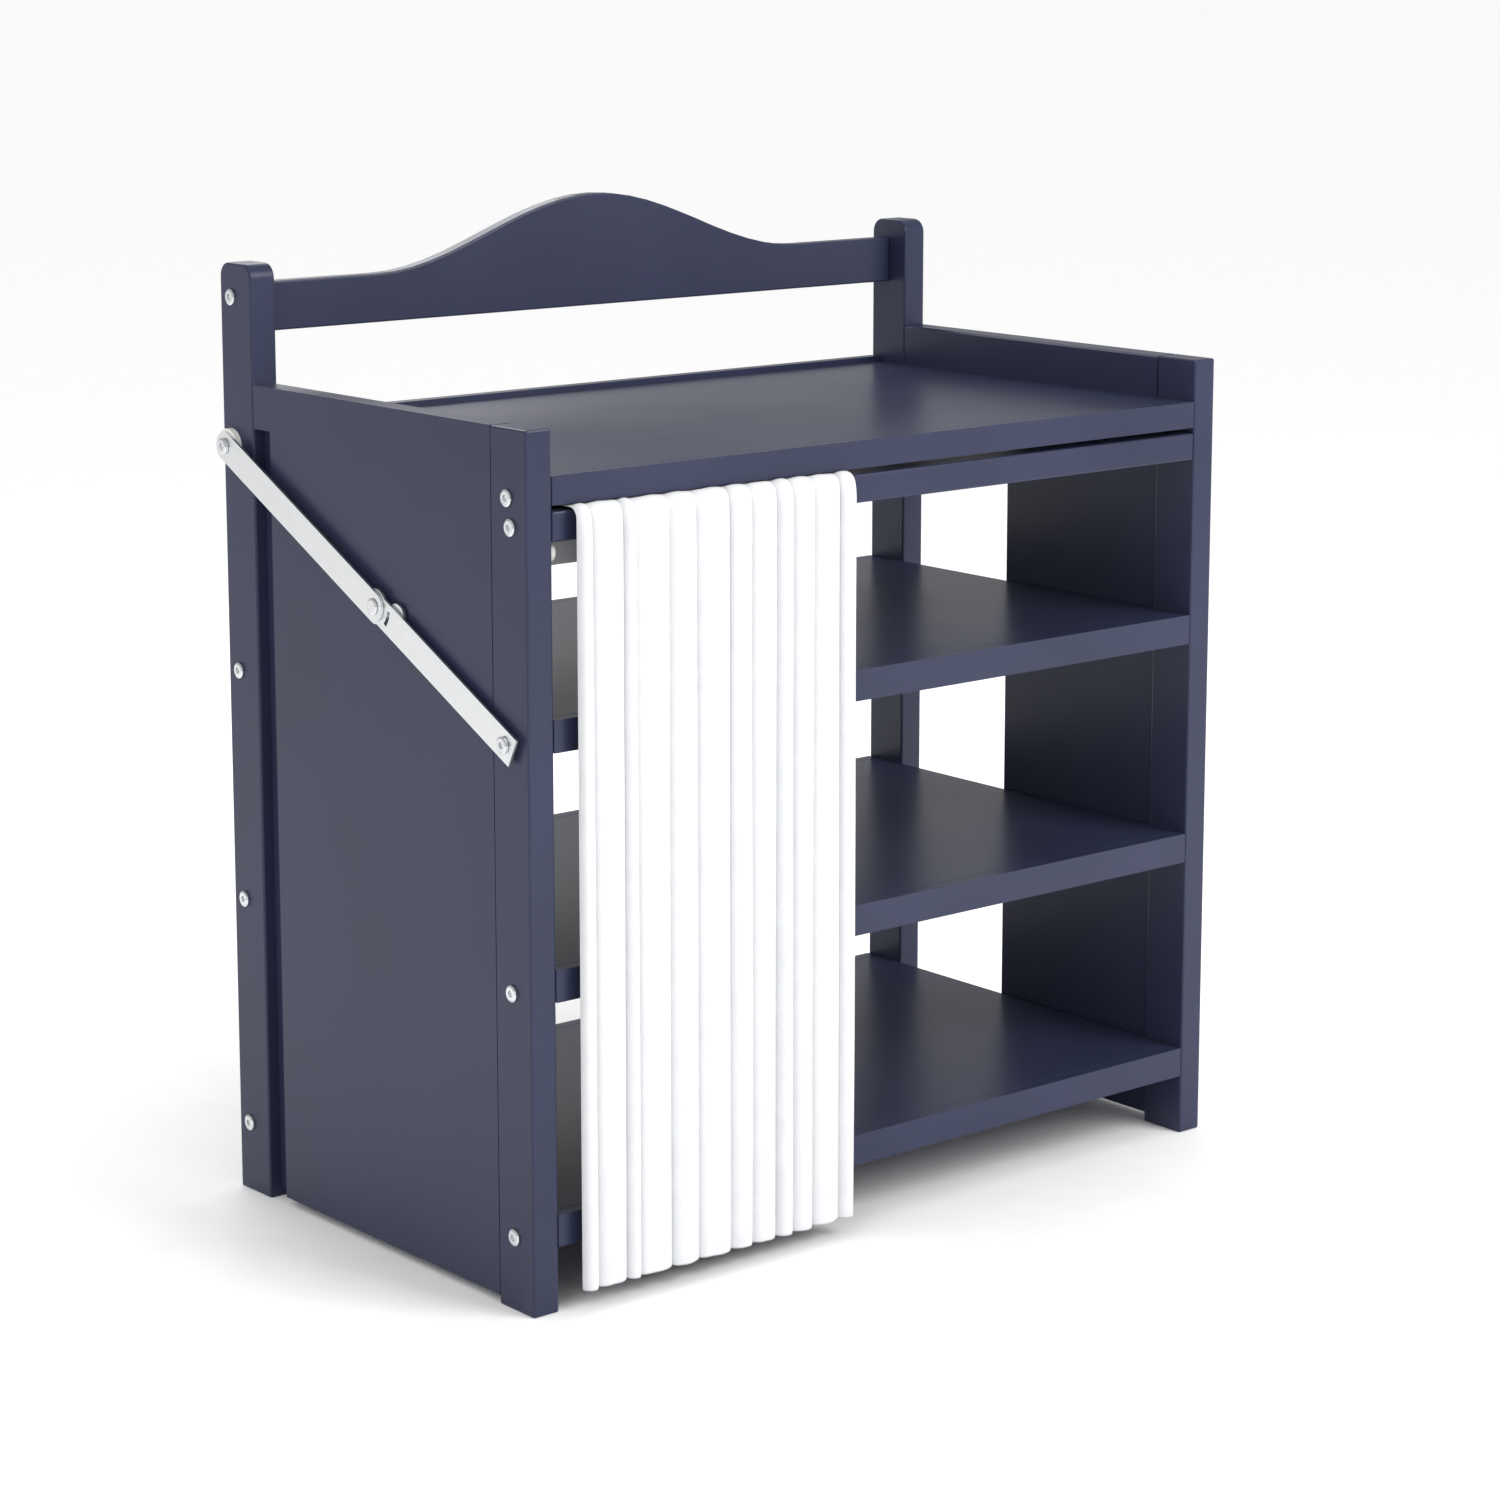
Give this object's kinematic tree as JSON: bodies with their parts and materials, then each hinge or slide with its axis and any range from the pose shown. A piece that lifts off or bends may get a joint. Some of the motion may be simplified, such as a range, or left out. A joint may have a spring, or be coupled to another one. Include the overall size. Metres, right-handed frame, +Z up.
{
  "type": "changing table",
  "caption": "Open-shelved changing table with a railed top, shaped backboard, side panels, jointed side stays and a sliding front curtain.",
  "frame": {"origin": "on the floor, at the centre of the footprint", "axes": "+Z up, -Y the front with the curtain, +X to the right seen from the front"},
  "size_m": [0.9544, 0.543, 1.036],
  "materials": {
    "painted_wood": "dark blue-grey satin paint",
    "zinc_plated_steel": "bright zinc plated",
    "white_nylon": "moulded, satin",
    "white_cotton": "plain woven cotton"
  },
  "bodies": {
    "frame": {"front_left_post": "painted_wood", "front_right_post": "painted_wood", "rear_left_post": "painted_wood", "rear_right_post": "painted_wood", "left_side_panel": "painted_wood", "right_side_panel": "painted_wood", "right_side_rail": "painted_wood", "top_board": "painted_wood", "top_front_rail": "painted_wood", "top_rear_rail": "painted_wood", "upper_shelf_board": "painted_wood", "upper_shelf_front_rail": "painted_wood", "upper_shelf_rear_rail": "painted_wood", "middle_shelf_board": "painted_wood", "middle_shelf_front_rail": "painted_wood", "middle_shelf_rear_rail": "painted_wood", "lower_shelf_board": "painted_wood", "lower_shelf_front_rail": "painted_wood", "lower_shelf_rear_rail": "painted_wood", "front_rail": "painted_wood", "backboard": "painted_wood", "curtain_button": "white_nylon", "left_front_bolt_top": "zinc_plated_steel", "left_front_bolt_rail": "zinc_plated_steel", "left_front_bolt_middle": "zinc_plated_steel", "left_front_bolt_lower": "zinc_plated_steel", "left_rear_bolt_backboard": "zinc_plated_steel", "left_rear_bolt_upper": "zinc_plated_steel", "left_rear_bolt_middle": "zinc_plated_steel", "left_rear_bolt_lower": "zinc_plated_steel", "right_front_bolt_top": "zinc_plated_steel", "right_front_bolt_rail": "zinc_plated_steel", "right_front_bolt_middle": "zinc_plated_steel", "right_front_bolt_lower": "zinc_plated_steel", "right_rear_bolt_backboard": "zinc_plated_steel", "right_rear_bolt_upper": "zinc_plated_steel", "right_rear_bolt_middle": "zinc_plated_steel", "right_rear_bolt_lower": "zinc_plated_steel", "left_stay_top_bolt": "zinc_plated_steel", "left_stay_disc": "white_nylon", "right_stay_top_bolt": "zinc_plated_steel", "right_stay_disc": "white_nylon"},
    "curtain": {"curtain": "white_cotton"},
    "left_stay_upper": {"left_stay_upper_arm": "zinc_plated_steel"},
    "left_stay_lower": {"left_stay_lower_arm": "zinc_plated_steel", "left_stay_rivet": "zinc_plated_steel", "left_stay_boss": "zinc_plated_steel", "left_stay_spacer": "white_nylon", "left_stay_foot_bolt": "zinc_plated_steel"},
    "right_stay_upper": {"right_stay_upper_arm": "zinc_plated_steel"},
    "right_stay_lower": {"right_stay_lower_arm": "zinc_plated_steel", "right_stay_rivet": "zinc_plated_steel", "right_stay_boss": "zinc_plated_steel", "right_stay_spacer": "white_nylon", "right_stay_foot_bolt": "zinc_plated_steel"}
  },
  "joints": [
    {"name": "curtain_slide", "type": "slide", "parent": "frame", "child": "curtain", "axis": [1, 0, 0], "range_m": [0, 0.478]},
    {"name": "left_stay_fold", "type": "hinge", "parent": "frame", "child": "left_stay_upper", "pos_m": [-0.463, 0.2535, 0.798], "axis": [-1, 0, 0], "range_deg": [0, 60]},
    {"name": "left_stay_knuckle", "type": "hinge", "parent": "left_stay_upper", "child": "left_stay_lower", "pos_m": [-0.463, -0.01052, 0.6671], "axis": [-1, 0, 0], "range_deg": [-138, 0]},
    {"name": "right_stay_fold", "type": "hinge", "parent": "frame", "child": "right_stay_upper", "pos_m": [0.463, 0.2535, 0.798], "axis": [-1, 0, 0], "range_deg": [0, 60]},
    {"name": "right_stay_knuckle", "type": "hinge", "parent": "right_stay_upper", "child": "right_stay_lower", "pos_m": [0.463, -0.01052, 0.6671], "axis": [-1, 0, 0], "range_deg": [-138, 0]}
  ],
  "couplings": [
    {"joint": "left_stay_knuckle", "follows": "left_stay_fold", "ratio": -2.2573},
    {"joint": "right_stay_knuckle", "follows": "right_stay_fold", "ratio": -2.2573}
  ]
}
